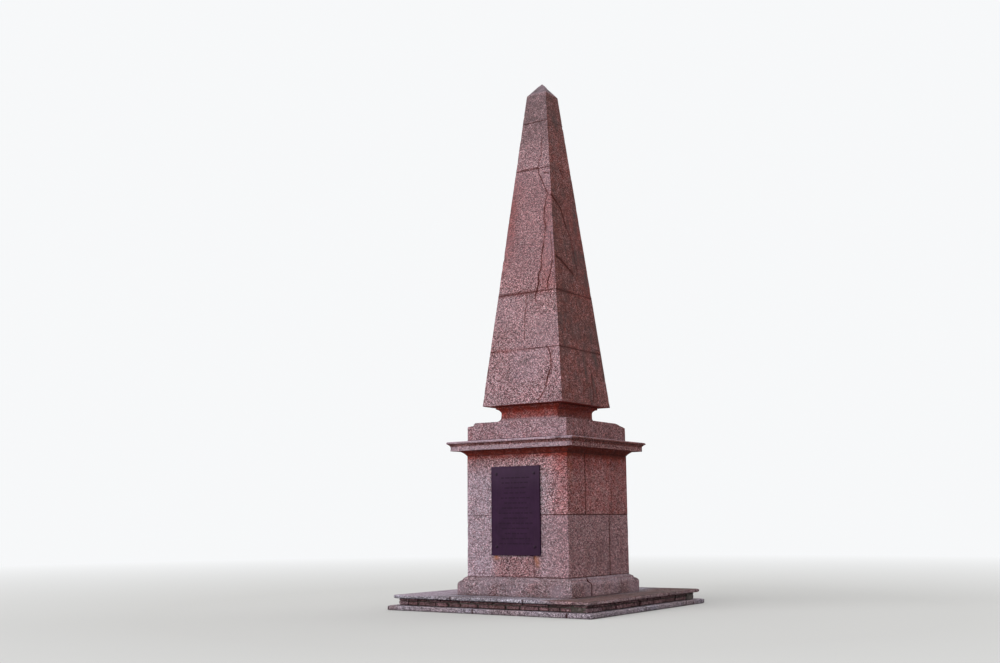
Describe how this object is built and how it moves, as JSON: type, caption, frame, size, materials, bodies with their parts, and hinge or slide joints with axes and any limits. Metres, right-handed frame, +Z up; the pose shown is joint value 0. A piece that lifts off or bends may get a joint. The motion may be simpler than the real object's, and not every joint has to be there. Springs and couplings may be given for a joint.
{
  "type": "granite obelisk monument",
  "caption": "Tapering granite obelisk on a moulded square pedestal with a metal plaque, standing on a low two-step platform of slabs.",
  "frame": {"origin": "centre of the lower step's foot, at ground level", "axes": "+Z up, -Y out of the front that carries the plaque, +X to the right of that front"},
  "size_m": [4.096, 4.096, 9.777],
  "materials": {
    "granite": "coarse pink granite, fine-axed, weathered",
    "platform_granite": "grey-pink granite slabs, worn",
    "rubble_core": "rubble bedded in mortar",
    "plaque_metal": "dark painted cast metal, matt"
  },
  "bodies": {
    "root": {"attic_block": "granite", "base_stone_back": "granite", "base_stone_front": "granite", "base_stone_left": "granite", "base_stone_right": "granite", "cornice": "granite", "foundation_core": "rubble_core", "lower_die_back": "granite", "lower_die_front": "granite", "lower_die_left": "granite", "lower_die_right": "granite", "lower_step_back_1": "platform_granite", "lower_step_back_2": "platform_granite", "lower_step_front_1": "platform_granite", "lower_step_front_2": "platform_granite", "lower_step_left_1": "platform_granite", "lower_step_left_2": "platform_granite", "lower_step_right_1": "platform_granite", "lower_step_right_2": "platform_granite", "neck_block": "granite", "pedestal_core": "rubble_core", "plaque": "plaque_metal", "platform_slab_back": "platform_granite", "platform_slab_back_left": "platform_granite", "platform_slab_back_right": "platform_granite", "platform_slab_front": "platform_granite", "platform_slab_front_left": "platform_granite", "platform_slab_front_right": "platform_granite", "platform_slab_left": "platform_granite", "platform_slab_right": "platform_granite", "riser_back": "platform_granite", "riser_front": "platform_granite", "riser_left": "platform_granite", "riser_right": "platform_granite", "shaft_block_1": "granite", "shaft_block_2": "granite", "shaft_block_3": "granite", "shaft_block_4": "granite", "shaft_block_5": "granite", "upper_die_back": "granite", "upper_die_front": "granite", "upper_die_left": "granite", "upper_die_right": "granite"}
  },
  "joints": []
}
